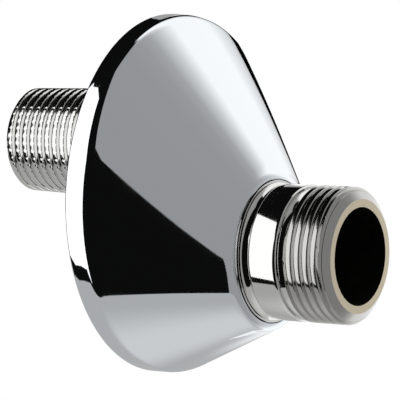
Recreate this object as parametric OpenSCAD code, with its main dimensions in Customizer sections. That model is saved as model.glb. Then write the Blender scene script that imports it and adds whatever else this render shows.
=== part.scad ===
// Eccentric wall connector for an exposed bath or shower mixer, with its cone escutcheon.
// A tapered male thread screws into the wall fitting. A larger parallel male thread, set lower,
// takes the union nut of the mixer. Turning the connector in the wall sets the mixer's inlet
// centres, and the oblique cone hides the offset neck and the hole in the tiles.
// Origin: the wall thread's axis where it crosses the wall. +Y runs into the wall, +Z is up.

/* [Offset] */
// Distance from the wall thread's axis down to the outlet's axis
eccentricity = 19.5; // [17:0.5:21]
// Distance from the wall thread's axis down to the centre of the cone's foot
foot_drop = 9.3; // [8:0.1:10.5]

/* [Wall thread] */
// Reach of the connector behind the wall surface
wall_reach = 31.7; // [26:0.1:40]
// Length of the tapered thread, counted from its end
wall_thread_len = 24; // [16:0.5:25]
// Major diameter of the tapered thread at its gauge plane, R 1/2
wall_thread_d = 20.955; // [20:0.005:22]
// Distance of the gauge plane from the end of the thread
wall_gauge_len = 10; // [6:0.1:12]
// Length in which the tapered thread grows by 1 in diameter
wall_taper = 16; // [12:1:24]
// Chamfer on the end of the wall thread
wall_chamfer = 0.8; // [0.3:0.1:1.2]
// Diameter of the waterway on the wall side
inlet_bore_d = 13; // [10:0.5:14]

/* [Outlet] */
// Distance from the wall to the bare sealing face of the outlet
outlet_reach = 44.2; // [42:0.1:52]
// Major diameter of the parallel outlet thread, G 3/4
outlet_thread_d = 26.44; // [26:0.01:27]
// Length from the sealing face to the start of the thread relief
outlet_thread_len = 9.7; // [8:0.1:11]
// Outer diameter of the flat sealing face
sealing_face_d = 21.96; // [21:0.02:23]
// Length of the lead chamfer between the sealing face and the thread
lead_chamfer = 1.5; // [1:0.1:2]
// Diameter of the outlet bore
outlet_bore_d = 18.9; // [16:0.1:19.5]
// Width of the turned relief between the neck and the thread
relief_w = 1.9; // [1.6:0.1:2.4]
// Diameter at the bottom of the relief
relief_d = 24.1; // [23.6:0.1:25]
// Diameter of the plain neck
neck_d = 26.4; // [25.6:0.1:26.8]

/* [Swan neck] */
// Distance from the wall to the elbow on the wall thread's axis
rear_elbow_h = 5; // [4:0.5:6]
// Distance from the wall to the elbow on the outlet's axis
front_elbow_h = 15.5; // [14:0.5:16]
// Outer diameter of the slanted part of the swan neck
swan_d = 20; // [18:0.5:21]
// Diameter of the slanted waterway
swan_bore_d = 12; // [9:0.5:12.5]
// Distance from the wall to the machined back of the swan neck
swan_back_h = 1; // [0.5:0.1:2]

/* [Escutcheon] */
// Diameter of the cone's foot
foot_d = 70; // [68:0.5:76]
// Width of the straight rim at the foot
rim_w = 3.6; // [2:0.1:5]
// Height over which the rim rounds into the cone
rim_blend = 1.6; // [0.8:0.1:3]
// Distance from the wall to the tip of the cone's nose
nose_h = 25.1; // [24:0.1:27]
// Diameter where the cone meets the rounded nose
nose_d = 31; // [30.6:0.1:33]
// Height of the rounding of the nose
nose_rise = 0.7; // [0.4:0.1:1]
// Wall of the cone, square to its surface
cone_wall = 1.5; // [1:0.1:2]
// Radial clearance of the nose hole around the neck
nose_clearance = 0.8; // [0.3:0.1:0.9]
// Length of the guide collar behind the nose
collar_len = 5; // [4.5:0.1:6]
// Wall of the guide collar
collar_wall = 1.6; // [1.3:0.1:1.8]

/* [Hidden] */
$fn = 180;
loft_sides = 144;                                  // facets round the cone
blend_steps = 4;                                   // steps of the rounding from rim to cone
nose_steps = 4;                                    // steps of the rounding of the nose
seat_cover = 1;                                    // how far the seat stands past the nose hole
seat_len = 3;
past = 1;                                          // how far a cut runs past the face it opens

// Wall side
shank_d = wall_thread_d + (wall_thread_len - wall_gauge_len) / wall_taper;
wall_end_d = wall_thread_d - wall_gauge_len / wall_taper;

// Cone: its radius shrinks and its centre drops evenly with height
foot_r = foot_d / 2;
nose_r = nose_d / 2;
cone_end_h = nose_h - nose_rise;
cone_start_h = rim_w + rim_blend;
cone_run = rim_blend / 2 + cone_end_h - cone_start_h;
cone_slope = (foot_r - nose_r) / cone_run;         // loss of radius per unit of height
cone_lean = (eccentricity - foot_drop) / cone_run; // drop of the centre per unit of height
cone_wall_r = cone_wall * sqrt(1 + pow(cone_slope, 2)); // wall measured along a radius
nose_angle = atan(cone_slope);
nose_round = nose_rise / (1 - sin(nose_angle));

// Seat between the two pieces
nose_hole_d = neck_d + 2 * nose_clearance;
seat_d = nose_hole_d + 2 * seat_cover;
seat_h = nose_h - collar_len;

// Thread relief
relief_end_h = outlet_reach - outlet_thread_len;
relief_start_h = relief_end_h - relief_w;

rear_elbow = [0, 0, rear_elbow_h];
front_elbow = [0, -eccentricity, front_elbow_h];

// Turns a shape that stands on z = 0 so that it points out of the wall, towards the outlet
module out_of_wall() rotate([90, 0, 0]) children();

// Moves a shape from the wall thread's axis down to the outlet's axis
module on_outlet_axis() translate([0, -eccentricity, 0]) children();

// Straight rod from one elbow to the other
module elbow_rod(d) {
    run = front_elbow - rear_elbow;
    translate(rear_elbow) rotate([acos(run.z / norm(run)), 0, 0]) cylinder(h = norm(run), d = d);
}

// Outside of the wall side: ball end, shank, tapered thread and end chamfer
module wall_turning() {
    translate(rear_elbow) rotate_extrude() intersection() {
        circle(d = shank_d);
        square(shank_d);
    }
    rotate_extrude() polygon([
        [0, rear_elbow_h],
        [shank_d / 2, rear_elbow_h],
        [shank_d / 2, wall_thread_len - wall_reach],
        [wall_end_d / 2 + wall_chamfer / wall_taper / 2, wall_chamfer - wall_reach],
        [wall_end_d / 2 - wall_chamfer, -wall_reach],
        [0, -wall_reach]
    ]);
}

// Outside of the outlet: seat for the escutcheon, neck, relief, thread and sealing face
module outlet_turning()
    on_outlet_axis() rotate_extrude() polygon([
        [0, front_elbow_h],
        [neck_d / 2, front_elbow_h],
        [neck_d / 2, seat_h - seat_len],
        [seat_d / 2, seat_h - seat_len],
        [seat_d / 2, seat_h],
        [neck_d / 2, seat_h],
        [neck_d / 2, relief_start_h],
        [relief_d / 2, relief_start_h + (neck_d - relief_d) / 2],
        [relief_d / 2, relief_end_h - (outlet_thread_d - relief_d) / 4],
        [outlet_thread_d / 2, relief_end_h],
        [outlet_thread_d / 2, outlet_reach - lead_chamfer],
        [sealing_face_d / 2, outlet_reach],
        [0, outlet_reach]
    ]);

// Slanted rod and lower ball end of the swan neck, machined flat at the back to clear the wall
module swan_neck()
    intersection() {
        union() {
            elbow_rod(swan_d);
            translate(front_elbow) rotate_extrude() intersection() {
                circle(d = neck_d);
                translate([0, -neck_d]) square(neck_d);
            }
        }
        translate([-foot_r, -foot_d, swan_back_h]) cube([foot_d, 2 * foot_d, outlet_reach]);
    }

// Two drilled bores joined by a slanted one
module waterway() {
    run = front_elbow - rear_elbow;
    reach = swan_bore_d / 2 * norm([run.x, run.y]) / norm(run); // of the slanted bore's end, along z
    translate([0, 0, -wall_reach - past])
        cylinder(h = wall_reach + past + rear_elbow_h + reach, d = inlet_bore_d);
    elbow_rod(swan_bore_d);
    translate(front_elbow - [0, 0, reach])
        cylinder(h = outlet_reach - front_elbow_h + reach + past, d = outlet_bore_d);
}

module eccentric_union() color([0.80, 0.79, 0.76]) out_of_wall()
    difference() {
        union() {
            wall_turning();
            swan_neck();
            outlet_turning();
        }
        waterway();
    }

// Solid skin over circles that lie square to the height: each is [height, radius, drop of centre]
module loft(circles) {
    last = len(circles) - 1;
    ring = [for (i = [0 : loft_sides - 1]) [cos(360 * i / loft_sides), sin(360 * i / loft_sides)]];
    points = [for (c = circles) for (p = ring) [c[1] * p.x, c[1] * p.y - c[2], c[0]]];
    walls = [for (k = [0 : last - 1]) for (i = [0 : loft_sides - 1])
        let (j = (i + 1) % loft_sides, low = k * loft_sides, high = low + loft_sides)
            [low + j, low + i, high + i, high + j]];
    foot = [for (i = [0 : loft_sides - 1]) i];
    top = [for (i = [loft_sides - 1 : -1 : 0]) last * loft_sides + i];
    polyhedron(points, concat([foot], walls, [top]));
}

// Circle of the cone's outside once the full slope has run for a height of run
function cone_circle(height, run) =
    [height, foot_r - cone_slope * run, foot_drop + cone_lean * run];

// Straight rim, rounding into the full slope, oblique cone and rounded nose
module cone_outside() {
    round_r = nose_r - nose_round * cos(nose_angle);
    loft(concat(
        [[0, foot_r, foot_drop]],
        [for (i = [0 : blend_steps]) let (t = i / blend_steps)
            cone_circle(rim_w + t * rim_blend, t * t / 2 * rim_blend)],
        [for (i = [0 : nose_steps]) let (a = nose_angle + (90 - nose_angle) * i / nose_steps)
            [nose_h - nose_round * (1 - sin(a)), round_r + nose_round * cos(a), eccentricity]]
    ));
}

// Hollow of the cone, open towards the wall
module cone_inside() {
    top_h = nose_h - cone_wall;
    top = cone_circle(top_h, cone_run - (cone_end_h - top_h));
    loft([
        [-past, foot_r - cone_wall, foot_drop],
        [rim_w, foot_r - cone_wall, foot_drop],
        [top_h, top[1] - cone_wall_r, top[2]]
    ]);
}

module escutcheon() color([0.78, 0.80, 0.82]) out_of_wall()
    difference() {
        union() {
            difference() {
                cone_outside();
                cone_inside();
            }
            on_outlet_axis() translate([0, 0, seat_h])
                cylinder(h = collar_len - cone_wall, d = nose_hole_d + 2 * collar_wall);
        }
        on_outlet_axis() translate([0, 0, seat_h - past])
            cylinder(h = collar_len + 2 * past, d = nose_hole_d);
    }

eccentric_union();
escutcheon();
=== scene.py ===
import math

import bmesh
import bpy
import numpy as np
from mathutils import Matrix, Vector


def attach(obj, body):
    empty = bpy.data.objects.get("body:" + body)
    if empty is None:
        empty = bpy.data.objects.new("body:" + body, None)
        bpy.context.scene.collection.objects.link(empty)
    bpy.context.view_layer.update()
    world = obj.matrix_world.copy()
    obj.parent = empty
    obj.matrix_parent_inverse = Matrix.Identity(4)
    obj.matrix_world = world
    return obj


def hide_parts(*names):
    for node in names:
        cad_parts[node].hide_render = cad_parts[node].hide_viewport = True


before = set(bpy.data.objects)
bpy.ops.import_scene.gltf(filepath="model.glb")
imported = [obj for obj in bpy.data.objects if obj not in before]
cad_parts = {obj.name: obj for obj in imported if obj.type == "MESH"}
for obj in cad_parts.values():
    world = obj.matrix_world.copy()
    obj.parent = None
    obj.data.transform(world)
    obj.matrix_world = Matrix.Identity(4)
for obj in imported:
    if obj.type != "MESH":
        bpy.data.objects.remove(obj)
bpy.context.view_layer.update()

# Eccentric union: the two threads
# One brass casting carries a tapered wall thread behind and a parallel union thread in front. Both are cut
# with a blunt tool, so their crests are wide and flat. The wall thread's crests are nicked to hold hemp.
# Lengths are in millimetres up to the mesh. h is the distance out of the wall, r a radius, and drop the
# distance of a turning axis below the wall thread's.
MM = 0.001
PITCH = 25.4 / 14
CREST_HALF, CREST_ROUND, THREAD_DEPTH = 0.38, 0.25, 0.625
FLANK = math.radians(62.5)
# Distances from the valley's middle at which the thread's form gets a vertex, on both sides of it
FORM = (0.05, 0.1, 0.28, 0.32, 0.4, 0.48, 0.56)
OUT_DROP = 19.5


def spun(bm, outline, drop, steps, climb=0):
    """Turns an (h, r) outline once round, moving it by climb along +Y."""
    kept = list(bm.verts) + list(bm.edges) + list(bm.faces)
    verts = [bm.verts.new(Vector((r, -h, -drop)) * MM) for h, r in outline]
    geom = verts + [bm.edges.new(pair) for pair in zip(verts, verts[1:])]
    axis = {"cent": (0, 0, -drop * MM), "axis": (0, 1, 0)}
    # A twelfth of the turn is spun, and then copied round, which is far quicker than spinning it all
    bmesh.ops.spin(bm, geom=geom, angle=math.tau / 12, dvec=(0, climb * MM / steps, 0), steps=steps // 12, **axis)
    geom = list(set(list(bm.verts) + list(bm.edges) + list(bm.faces)).difference(kept))
    bmesh.ops.spin(bm, geom=geom, angle=math.tau * 11 / 12, dvec=(0, climb * MM / 12, 0), steps=11,
                   use_duplicate=True, **axis)


def depth_below_crest(phase):
    """Depth of the thread's form. The phase is whole in the middle of a valley."""
    past_crest = (0.5 - abs((phase + 0.5) % 1 - 0.5)) * PITCH - CREST_HALF
    if past_crest < CREST_ROUND * math.sin(FLANK):
        return CREST_ROUND - math.sqrt(CREST_ROUND ** 2 - max(past_crest, 0) ** 2)
    start = CREST_ROUND * (1 - math.cos(FLANK))
    return min(start + (past_crest - CREST_ROUND * math.sin(FLANK)) * math.tan(FLANK), THREAD_DEPTH)


def cut_thread(bm, first, last, valley, crest, blank, drop, steps, run_out=math.inf, nicks=0):
    """Right-hand thread between two distances h, inside the turned blank. Its valley is at h = valley on top."""
    low = valley - PITCH / 4
    turns = range(math.floor((first - low) / PITCH), math.ceil((last - low) / PITCH) + 2)
    offsets = [-t for t in reversed(FORM)] + [0, *FORM, PITCH / 2]
    spun(bm, [(low + k * PITCH + t, 20) for k in turns for t in offsets], drop, steps, climb=PITCH)
    for vert in bm.verts:
        x, y, z = vert.co / MM
        angle = math.atan2(x, z + drop)
        h = min(max(-y, first), last)
        phase = (h - valley) / PITCH + angle / math.tau
        depth = depth_below_crest(phase)
        if nicks:
            along = abs((angle / math.tau * nicks + 0.5) % 1 - 0.5) / nicks * math.tau * crest(h)
            edge = ((phase % 1 - 0.5) * PITCH - 0.15) / 0.2
            depth = max(depth, 0.13 * max(0, 1 - along / 0.24) * min(max(edge, 0), 1))
        r = min(crest(h) - depth * min(1, (run_out - h) / PITCH), blank(h))
        vert.co = Vector((r * math.sin(angle), -h, r * math.cos(angle) - drop)) * MM


def closed(bm, name):
    """Object of a closed shape, with its doubles merged and its faces turned outwards."""
    bmesh.ops.remove_doubles(bm, verts=bm.verts, dist=1e-6)
    bmesh.ops.recalc_face_normals(bm, faces=bm.faces)
    mesh = bpy.data.meshes.new(name)
    bm.to_mesh(mesh)
    bm.free()
    obj = bpy.data.objects.new(name, mesh)
    bpy.context.collection.objects.link(obj)
    return obj


def arc(centre, radius, start, end, steps):
    """(h, r) points of an arc. The angle runs from the h axis towards larger r, in degrees."""
    turns = [math.radians(start + (end - start) * i / steps) for i in range(steps + 1)]
    return [(centre[0] + radius * math.cos(t), centre[1] + radius * math.sin(t)) for t in turns]


# Front turning: lower ball of the swan neck, seat for the escutcheon, shoulder in the nose hole, turned
# groove beside it, plain neck, relief, thread, lead chamfer and sealing face
OUT_FACE_H, FACE_R = 44.2, 10.98
RELIEF_END, THREAD_END, THREAD_END_R = 34.35, 43.08, 12.58


def outlet_blank(h):
    return np.interp(h, [RELIEF_END, 35, 42.5, 42.72, THREAD_END], [11.9, 13.22, 13.22, 13.1, THREAD_END_R])


bm = bmesh.new()
cut_thread(bm, RELIEF_END, THREAD_END, 36.59, lambda h: 13.22, outlet_blank, OUT_DROP, 240)
outline = arc((15.5, 0), 13.2, 180, 90, 9)
outline += [(17.1, 13.2), (17.1, 14.8), (17.3, 15), (19.9, 15), (20.1, 14.8), (20.1, 13.75)]
outline += arc((25.23, 13.61), 0.14, 90, 0, 4) + [(25.37, 13.45), (25, 13.45), (25, 13.33)]
outline += arc((27.1, 14.6), 2, 219.4, 264, 10) + arc((27.62, 12.4), 0.8, 146, 90, 8)
outline += arc((32.5, 11.6), 1.6, 90, 77, 4) + arc((32.75, 12.67), 0.5, 76, 30, 6)
outline += [(33.2, 12.9), (33.22, 12.5), (33.46, 12.49), (34.25, 11.92), (RELIEF_END, 11.9)]
spun(bm, outline, OUT_DROP, 240)
spun(bm, [(THREAD_END, THREAD_END_R), (43.1, 12.5), (43.2, 12.47), (OUT_FACE_H, FACE_R), (OUT_FACE_H, 0)], OUT_DROP, 240)
front = closed(bm, "front_turning")

# Wall side turning: end chamfer, tapered thread with its run-out, shank and upper ball of the swan neck
WALL_END_H, WALL_THREAD_TOP = -31.7, -7.7
SHANK_R = 10.915


def wall_crest(h):
    return SHANK_R + (h - WALL_THREAD_TOP) / 32


def wall_blank(h):
    return np.interp(h, [WALL_END_H, WALL_END_H + 0.8, WALL_THREAD_TOP], [9.365, 10.19, SHANK_R])


bm = bmesh.new()
cut_thread(bm, WALL_END_H, WALL_THREAD_TOP, -31.87, wall_crest, wall_blank, 0, 264,
           run_out=WALL_THREAD_TOP, nicks=44)
spun(bm, [(WALL_END_H, 0), (WALL_END_H, wall_blank(WALL_END_H))], 0, 264)
spun(bm, [(WALL_THREAD_TOP, SHANK_R), (-2, SHANK_R)] + arc((5, 0), SHANK_R, 90, 0, 9), 0, 264)
rear = closed(bm, "wall_turning")

# Eccentric union: the swan neck and the waterway
# A slanted rod joins the two balls. It is machined flat behind so that it clears the wall. The water runs
# through two straight bores and a slanted one between them.
SLANT_START, SLANT_END = (0, 5), (-OUT_DROP, 15.5)
BORE_REACH = 6 * OUT_DROP / math.hypot(OUT_DROP, 10.5)


def rod(name, start, end, r):
    """Closed cylinder between two points (z, h) of the upright plane."""
    (z0, h0), (z1, h1) = start, end
    bm = bmesh.new()
    bmesh.ops.create_cone(bm, cap_ends=True, segments=128, radius1=r * MM, radius2=r * MM,
                          depth=math.hypot(z1 - z0, h1 - h0) * MM)
    turn = Vector((0, 0, 1)).rotation_difference(Vector((0, h0 - h1, z1 - z0))).to_matrix()
    bmesh.ops.rotate(bm, matrix=turn, verts=bm.verts)
    bmesh.ops.translate(bm, vec=Vector((0, -(h0 + h1) / 2, (z0 + z1) / 2)) * MM, verts=bm.verts)
    return closed(bm, name)


def joined(base, other, operation):
    """Applies one boolean and drops the other object."""
    bpy.context.view_layer.objects.active = base
    step = base.modifiers.new("cut", "BOOLEAN")
    step.object = other
    step.operation = operation
    step.solver = "MANIFOLD"
    bpy.ops.object.modifier_apply(modifier=step.name)
    bpy.data.objects.remove(other, do_unlink=True)


union = front
joined(union, rod("slant", SLANT_START, SLANT_END, 10), "UNION")
bm = bmesh.new()
bmesh.ops.create_cube(bm, size=100 * MM)
bmesh.ops.translate(bm, vec=(0, 49 * MM, 0), verts=bm.verts)
joined(union, closed(bm, "back_cut"), "DIFFERENCE")
joined(union, rear, "UNION")
joined(union, rod("inlet", (0, WALL_END_H - 1), (0, 5 + BORE_REACH), 6.5), "DIFFERENCE")
joined(union, rod("slant_bore", SLANT_START, SLANT_END, 6), "DIFFERENCE")
joined(union, rod("outlet", (-OUT_DROP, 15.5 - BORE_REACH), (-OUT_DROP, OUT_FACE_H + 1), 9.45), "DIFFERENCE")
union.name = union.data.name = "eccentric_union"
union.data.shade_smooth()
union.data.set_sharp_from_angle(angle=math.radians(32))


def metal(name, color):
    """Material of a metal, with its nodes, its shader and the Object coordinates."""
    material = bpy.data.materials.new(name)
    material.use_nodes = True
    nodes = material.node_tree.nodes
    shader = nodes["Principled BSDF"]
    shader.inputs["Base Color"].default_value = (*color, 1)
    shader.inputs["Metallic"].default_value = 1
    return material, nodes, material.node_tree.links, shader, nodes.new("ShaderNodeTexCoord").outputs["Object"]


def math_node(nodes, links, operation, *values):
    """Output of a Math node over sockets or numbers."""
    node = nodes.new("ShaderNodeMath")
    node.operation = operation
    for socket, value in zip(node.inputs, values):
        if isinstance(value, (int, float)):
            socket.default_value = value
        else:
            links.new(value, socket)
    return node.outputs[0]


def patches(nodes, links, coords, size, low, high):
    """Soft cloudy variation between two values, with patches of about the given size in metres."""
    noise = nodes.new("ShaderNodeTexNoise")
    noise.inputs["Scale"].default_value = 1 / size
    noise.inputs["Detail"].default_value = 3
    links.new(coords, noise.inputs["Vector"])
    span = nodes.new("ShaderNodeMapRange")
    for name, value in (("From Min", 0.3), ("From Max", 0.7), ("To Min", low), ("To Max", high)):
        span.inputs[name].default_value = value
    links.new(noise.outputs["Fac"], span.inputs["Value"])
    return span.outputs["Result"]


def turning_marks(nodes, links, coords, shader, spacing, depth):
    """Fine rings round the nearer axis, as the lathe leaves them on cylinders and on faces."""
    split = nodes.new("ShaderNodeSeparateXYZ")
    links.new(coords, split.inputs[0])
    in_front = math_node(nodes, links, "LESS_THAN", split.outputs["Y"], -10 * MM)
    upright = math_node(nodes, links, "MULTIPLY_ADD", in_front, OUT_DROP * MM, split.outputs["Z"])
    flat = nodes.new("ShaderNodeCombineXYZ")
    links.new(split.outputs["X"], flat.inputs["X"])
    links.new(upright, flat.inputs["Z"])
    radius = nodes.new("ShaderNodeVectorMath")
    radius.operation = "LENGTH"
    links.new(flat.outputs[0], radius.inputs[0])
    travel = math_node(nodes, links, "ADD", split.outputs["Y"], radius.outputs["Value"])
    rings = nodes.new("ShaderNodeTexNoise")
    rings.noise_dimensions = "1D"
    rings.inputs["Scale"].default_value = 1 / spacing
    rings.inputs["Detail"].default_value = 2
    links.new(travel, rings.inputs["W"])
    bump = nodes.new("ShaderNodeBump")
    bump.inputs["Strength"].default_value = 0.5
    bump.inputs["Distance"].default_value = depth
    links.new(rings.outputs["Fac"], bump.inputs["Height"])
    links.new(bump.outputs["Normal"], shader.inputs["Normal"])
    return split.outputs["Y"]


# Nickel and chrome plate over the turned brass: bright on the neck and rougher on the threads. The outlet thread's
# colour is darkened as painted shade.
plate, nodes, links, shader, coords = metal("turned_plate", (0.82, 0.81, 0.79))
along = turning_marks(nodes, links, coords, shader, 0.15 * MM, 0.5e-6)
rough = patches(nodes, links, coords, 5 * MM, 0.045, 0.075)
on_front = math_node(nodes, links, "LESS_THAN", along, -RELIEF_END * MM)
on_wall = math_node(nodes, links, "GREATER_THAN", along, -WALL_THREAD_TOP * MM)
on_thread = math_node(nodes, links, "ADD", on_front, on_wall)
links.new(math_node(nodes, links, "MULTIPLY_ADD", on_thread, 0.04, rough), shader.inputs["Roughness"])
# Painted shade: the outlet thread's plate colour is darkened well below the neck's
painted_thread_shade = nodes.new("ShaderNodeMix")
painted_thread_shade.data_type = "RGBA"
painted_thread_shade.inputs["A"].default_value = (0.77, 0.77, 0.755, 1)
painted_thread_shade.inputs["B"].default_value = (0.53, 0.525, 0.51, 1)
links.new(on_front, painted_thread_shade.inputs["Factor"])
links.new(painted_thread_shade.outputs["Result"], shader.inputs["Base Color"])

# The same plate over the rough skin of the casting, between the balls
cast_plate, nodes, links, shader, coords = metal("cast_plate", (0.76, 0.75, 0.73))
links.new(patches(nodes, links, coords, 2 * MM, 0.28, 0.42), shader.inputs["Roughness"])
grain = nodes.new("ShaderNodeTexNoise")
grain.inputs["Scale"].default_value = 1 / (0.6 * MM)
links.new(coords, grain.inputs["Vector"])
bump = nodes.new("ShaderNodeBump")
bump.inputs["Distance"].default_value = 0.03 * MM
links.new(grain.outputs["Fac"], bump.inputs["Height"])
links.new(bump.outputs["Normal"], shader.inputs["Normal"])

# Bare brass of the sealing face, faced after plating
brass, nodes, links, shader, coords = metal("bare_brass", (0.86, 0.76, 0.58))
turning_marks(nodes, links, coords, shader, 0.2 * MM, 3e-6)
links.new(patches(nodes, links, coords, 1.5 * MM, 0.26, 0.4), shader.inputs["Roughness"])

union.data.materials.clear()
# Painted shade in the bores: a near-black dull metal that stands for the dark inside of the waterway
painted_bore_shade, nodes, links, shader, coords = metal("painted_bore_shade", (0.09, 0.085, 0.075))
links.new(patches(nodes, links, coords, 2 * MM, 0.4, 0.55), shader.inputs["Roughness"])

for material in (plate, cast_plate, brass, painted_bore_shade):
    union.data.materials.append(material)
for face in union.data.polygons:
    x, y, z = face.center / MM
    # Faces inside the bores get the painted bore shade
    if math.hypot(x, z + OUT_DROP) < 9.5 and y < -8 or math.hypot(x, z) < 6.6 and y > -8:
        face.material_index = 3
    elif y < -(OUT_FACE_H - 0.05):
        face.material_index = 2
    elif -17 < y < -1.01:
        face.material_index = 1
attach(union, "root")
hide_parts("eccentric_union")

# Cone escutcheon
# A thin brass shell, polished and chromed outside and left dull inside, pushed over the outlet after the
# union is screwed in. Its foot rests on the wall and its guide collar on the union's seat.
FOOT_R, FOOT_DROP, FOOT_WALL = 35, 9.3, 1.5
SLOPE, LEAN = 19.5 / 20, 10.2 / 20
RIM_H, HOLE_R, COLLAR_R, SEAT_H = 3.6, 14, 15.6, 20.1
NOSE_H, NOSE_R, NOSE_RISE = 25.1, 15.5, 0.7


def cone(h, run):
    """Circle (h, r, drop) of the cone once its full slope has run for a height of run."""
    return h, FOOT_R - SLOPE * run, FOOT_DROP + LEAN * run


def grown(bm, loop, place, inside):
    """Extrudes a loop of edges and moves each new vertex to place(old position)."""
    geom = bmesh.ops.extrude_edge_only(bm, edges=loop)["geom"]
    verts = {v for v in geom if isinstance(v, bmesh.types.BMVert)}
    for vert in verts:
        vert.co = place(vert.co)
    for face in geom:
        if isinstance(face, bmesh.types.BMFace):
            face.material_index = int(inside)
    return [e for e in geom if isinstance(e, bmesh.types.BMEdge) and verts.issuperset(e.verts)]


def to_circle(old, new):
    """Place on the new circle (h, r, drop) of a point of the old one."""
    def place(co):
        x, z = co.x / old[1], (co.z + old[2] * MM) / old[1]
        return Vector((x * new[1], -new[0] * MM, z * new[1] - new[2] * MM))
    return place


nose_angle = math.atan(SLOPE)
nose_round = NOSE_RISE / (1 - math.sin(nose_angle))
nose_centre = (NOSE_H - nose_round, NOSE_R - nose_round * math.cos(nose_angle))
outside = [(h, r, FOOT_DROP) for h, r in arc((0.35, FOOT_R - 0.35), 0.35, 180, 90, 6) + [(1.2, FOOT_R), (2.4, FOOT_R)]]
outside += [cone(RIM_H + 1.6 * t, 0.8 * t * t) for t in np.linspace(0, 1, 9)]
outside += [cone(h, h - RIM_H - 0.8) for h in np.linspace(6.2, 23.6, 30)]
outside += [(h, r, OUT_DROP) for h, r in arc(nose_centre, nose_round, 90 - math.degrees(nose_angle), 4, 8)]
outside += [(h, HOLE_R, OUT_DROP) for h in (NOSE_H - 0.05, 22, SEAT_H + 0.1)]
collar = [(SEAT_H, HOLE_R + 0.1, OUT_DROP), (SEAT_H, COLLAR_R - 0.1, OUT_DROP), (SEAT_H + 0.1, COLLAR_R, OUT_DROP)]

bm = bmesh.new()
bmesh.ops.create_circle(bm, segments=288, radius=outside[0][1] * MM)
bmesh.ops.rotate(bm, matrix=Matrix.Rotation(math.pi / 2, 3, "X"), verts=bm.verts)
bmesh.ops.translate(bm, vec=(0, 0, -FOOT_DROP * MM), verts=bm.verts)
rim = loop = list(bm.edges)
rings = outside + collar
for old, new in zip(rings, rings[1:]):
    loop = grown(bm, loop, to_circle(old, new), inside=new in collar)

# Up the outside of the collar to the hollow's slope, and down the slope to the straight inside of the foot
inner_r = FOOT_R - FOOT_WALL
slope_top = cone(23.6, 19.2)
shrink = slope_top[1] - FOOT_WALL * math.hypot(1, SLOPE) - inner_r
sink = slope_top[2] - FOOT_DROP


def slope_circle(share):
    """Circle (h, r, drop) of the hollow at a share of its slope."""
    return RIM_H + 20 * share, inner_r + shrink * share, FOOT_DROP + sink * share


def up_to_slope(co):
    x, z = co.x / MM, co.z / MM + FOOT_DROP
    a, b = sink ** 2 - shrink ** 2, z * sink - inner_r * shrink
    share = (math.sqrt(b ** 2 - a * (x ** 2 + z ** 2 - inner_r ** 2)) - b) / a
    return Vector((co.x, -slope_circle(share)[0] * MM, co.z))


def down_slope(part):
    """Place of a point of the slope once it has gone down by a part of its height over the foot."""
    def place(co):
        share = (-co.y / MM - RIM_H) / 20
        return to_circle(slope_circle(share), slope_circle(share * (1 - part)))(co)
    return place


loop = grown(bm, loop, up_to_slope, inside=True)
for part in (1 / 4, 1 / 3, 1 / 2, 1):
    loop = grown(bm, loop, down_slope(part), inside=True)
foot = [(RIM_H, inner_r, FOOT_DROP), (2, inner_r, FOOT_DROP), (0.1, inner_r, FOOT_DROP), (0, inner_r + 0.1, FOOT_DROP)]
for old, new in zip(foot, foot[1:]):
    loop = grown(bm, loop, to_circle(old, new), inside=True)
bmesh.ops.bridge_loops(bm, edges=rim + loop)
shell = closed(bm, "escutcheon_shell")
shell.data.shade_smooth()
shell.data.set_sharp_from_angle(angle=math.radians(32))

# Bright polished chrome outside. Inside, the dull plate that no wheel has reached.
chrome, nodes, links, shader, coords = metal("bright_chrome", (0.84, 0.87, 0.90))
links.new(patches(nodes, links, coords, 8 * MM, 0.02, 0.045), shader.inputs["Roughness"])
waves = nodes.new("ShaderNodeTexNoise")
waves.inputs["Scale"].default_value = 1 / (9 * MM)
links.new(coords, waves.inputs["Vector"])
bump = nodes.new("ShaderNodeBump")
bump.inputs["Strength"].default_value = 0.5
bump.inputs["Distance"].default_value = 0.01 * MM
links.new(waves.outputs["Fac"], bump.inputs["Height"])
links.new(bump.outputs["Normal"], shader.inputs["Normal"])

dull, nodes, links, shader, coords = metal("dull_plate", (0.74, 0.74, 0.73))
links.new(patches(nodes, links, coords, 3 * MM, 0.3, 0.45), shader.inputs["Roughness"])
for material in (chrome, dull):
    shell.data.materials.append(material)
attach(shell, "root")
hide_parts("escutcheon")

# Light cards
# White and grey paper just outside the picture: an upright one behind on the left, and a large curved one
# in front and on the right, with a narrow black strip at its end. They show only in the chrome.


def staged(bm, name, tones):
    """Stage sheet that glows with its points' tones where chrome reflects it, and that nothing else sees."""
    mesh = bpy.data.meshes.new(name)
    bm.to_mesh(mesh)
    bm.free()
    mesh.attributes.new("bright", "FLOAT", "POINT").data.foreach_set("value", tones)
    material = bpy.data.materials.new(name)
    material.use_nodes = True
    nodes, links = material.node_tree.nodes, material.node_tree.links
    nodes.remove(nodes["Principled BSDF"])
    glow, bright = nodes.new("ShaderNodeEmission"), nodes.new("ShaderNodeAttribute")
    bright.attribute_name = "bright"
    links.new(bright.outputs["Fac"], glow.inputs["Strength"])
    links.new(glow.outputs["Emission"], nodes["Material Output"].inputs["Surface"])
    mesh.materials.append(material)
    obj = bpy.data.objects.new(name, mesh)
    bpy.context.collection.objects.link(obj)
    obj.visible_camera = obj.visible_diffuse = False


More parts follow.
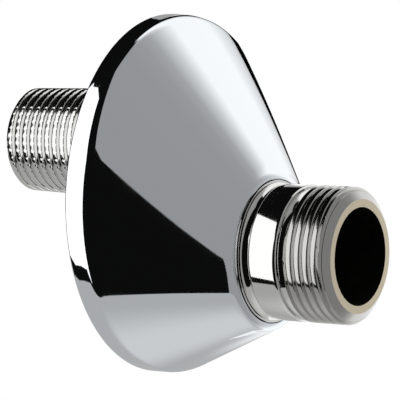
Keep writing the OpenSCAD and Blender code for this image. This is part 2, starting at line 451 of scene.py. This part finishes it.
def upright_sheet(name, foot_line, heights=((-149, 1), (400, 1), (480, 0))):
    """Sheet over (x, y, tone) points of the floor, raised through heights z with a share of the tone each."""
    bm = bmesh.new()
    verts = [bm.verts.new(Vector((x, y, heights[0][0])) * MM) for x, y, _ in foot_line]
    loop = [bm.edges.new(pair) for pair in zip(verts, verts[1:])]
    tones = [tone * heights[0][1] for _, _, tone in foot_line]
    for z, share in heights[1:]:
        geom = bmesh.ops.extrude_edge_only(bm, edges=loop)["geom"]
        raised = [v for v in geom if isinstance(v, bmesh.types.BMVert)]
        loop = [e for e in geom if isinstance(e, bmesh.types.BMEdge) and set(raised).issuperset(e.verts)]
        for vert in raised:
            x, y, _ = vert.co / MM
            tones.append(share * min(foot_line, key=lambda p: math.hypot(p[0] - x, p[1] - y))[2])
            vert.co.z = z * MM
    staged(bm, name, tones)


bm = bmesh.new()
corners = [bm.verts.new(Vector((-100, y, z)) * MM) for y, z in ((-12, 27), (30, -117), (95, -60), (105, 60), (260, 300), (260, 370))]
bm.faces.new(corners)
staged(bm, "card_left", [1.3] * 6)

CARD_R = 145
curve = [(-35, 0.335), (-15, 0.335), (0, 0.34), (15, 0.34), (30, 0.36), (40, 0.43), (50, 0.7), (60, 1.08)]
line = [(CARD_R * math.sin(math.radians(t)), -CARD_R * math.cos(math.radians(t)), tone) for t, tone in curve]
line += [(110, -38, 1.08), (96, -14, 1.08), (89.2, -0.4, 0.8), (87, 3.8, 0.6)]
upright_sheet("card_right", line)
upright_sheet("dark_strip", [(87, 3.8, 1), (81.3, 9.2, 1)], heights=((-149, 1), (-60, 1), (-30, 0), (480, 0)))

# Floor, backdrop and world
# A pale floor lies far below the part, with a white backdrop behind. The camera sees both and the world as
# The camera sees both and the world as white, with the part's soft shadow on the floor. In the chrome the floor glows
# graded grey, with a painted pool of light under the part and painted brightening to the right, and the rest is dark.
upright_sheet("backdrop", [(725, 535, 0.35), (762, 480, 0.4), (770, 466, 1.08), (999, 119, 1.08), (1010, 80, 1.08)], heights=((-149, 1), (440, 1)))

FLOOR_Z = -149
bm = bmesh.new()
corners = [bm.verts.new(Vector((x, y, FLOOR_Z)) * MM) for x, y in ((-55, -300), (1100, -300), (1100, 1200), (-285, 1200))]
bm.faces.new(corners)
mesh = bpy.data.meshes.new("floor")
bm.to_mesh(mesh)
bm.free()
floor = bpy.data.objects.new("floor", mesh)
bpy.context.collection.objects.link(floor)
paper = bpy.data.materials.new("floor_paper")
paper.use_nodes = True
nodes, links = paper.node_tree.nodes, paper.node_tree.links
shader = nodes["Principled BSDF"]
shader.inputs["Base Color"].default_value = (1, 1, 1, 1)
shader.inputs["Roughness"].default_value = 1
shader.inputs["Specular IOR Level"].default_value = 0
coords = nodes.new("ShaderNodeTexCoord").outputs["Object"]


def ramp(nodes, links, value, start, end, low, high):
    """Smooth change from low to high as the value goes from start to end."""
    node = nodes.new("ShaderNodeMapRange")
    node.interpolation_type = "SMOOTHSTEP"
    for name, number in (("From Min", start), ("From Max", end), ("To Min", low), ("To Max", high)):
        node.inputs[name].default_value = number
    links.new(value, node.inputs["Value"])
    return node.outputs["Result"]


# Painted pool of light round the spot under the part, seen only in the chrome
painted_pool = nodes.new("ShaderNodeVectorMath")
painted_pool.operation = "DISTANCE"
painted_pool.inputs[1].default_value = (15 * MM, -15 * MM, FLOOR_Z * MM)
links.new(coords, painted_pool.inputs[0])
split = nodes.new("ShaderNodeSeparateXYZ")
links.new(coords, split.inputs[0])
lit = ramp(nodes, links, painted_pool.outputs["Value"], 20 * MM, 100 * MM, 0.68, 0.46)
# Towards the right, as far as the backdrop's left edge, painted light makes the floor as white as the backdrop in the
# chrome
aside = math_node(nodes, links, "SUBTRACT", math_node(nodes, links, "MULTIPLY", split.outputs["X"], 0.6), split.outputs["Y"])
aside = ramp(nodes, links, aside, 30 * MM, 60 * MM, 0, 0.62)
beyond = ramp(nodes, links, split.outputs["X"], 60 * MM, 170 * MM, 0, 1)
lit = math_node(nodes, links, "MULTIPLY_ADD", beyond, aside, lit)
glow, mix = nodes.new("ShaderNodeEmission"), nodes.new("ShaderNodeMixShader")
light_path = nodes.new("ShaderNodeLightPath")
links.new(lit, glow.inputs["Strength"])
links.new(light_path.outputs["Is Glossy Ray"], mix.inputs["Fac"])
links.new(shader.outputs["BSDF"], mix.inputs[1])
links.new(glow.outputs["Emission"], mix.inputs[2])
links.new(mix.outputs["Shader"], nodes["Material Output"].inputs["Surface"])
mesh.materials.append(paper)

world = bpy.data.worlds.new("studio")
bpy.context.scene.world = world
world.use_nodes = True
nodes, links = world.node_tree.nodes, world.node_tree.links
sky = nodes["Background"]
sky.inputs["Color"].default_value = (1, 1, 1, 1)
level = nodes.new("ShaderNodeMapRange")
level.inputs["To Min"].default_value = 1
level.inputs["To Max"].default_value = 0.004
links.new(nodes.new("ShaderNodeLightPath").outputs["Is Glossy Ray"], level.inputs["Value"])
links.new(level.outputs["Result"], sky.inputs["Strength"])
bpy.context.scene.view_settings.view_transform = "Standard"

# Camera
# A long lens looks from the left and slightly from above. The wall thread's axis crosses the wall at a point
# left of and above the middle of the 400 x 400 picture.
azimuth, elevation, distance, focal_px = math.radians(-56.6), math.radians(4.19), 0.833, 4255
back = Vector((math.sin(azimuth) * math.cos(elevation), -math.cos(azimuth) * math.cos(elevation), math.sin(elevation)))
lens = bpy.data.cameras.new("camera")
lens.sensor_width = 36
lens.lens = focal_px / 400 * lens.sensor_width
lens.clip_start = 0.05
camera = bpy.data.objects.new("camera", lens)
bpy.context.collection.objects.link(camera)
camera.location = back * distance
right = Vector((math.cos(azimuth), math.sin(azimuth), 0))
aim = (right * (200 - 166.5) + right.cross(-back) * (145.2 - 200)) / focal_px * distance
camera.rotation_euler = (aim - camera.location).to_track_quat("-Z", "Y").to_euler()
bpy.context.scene.camera = camera
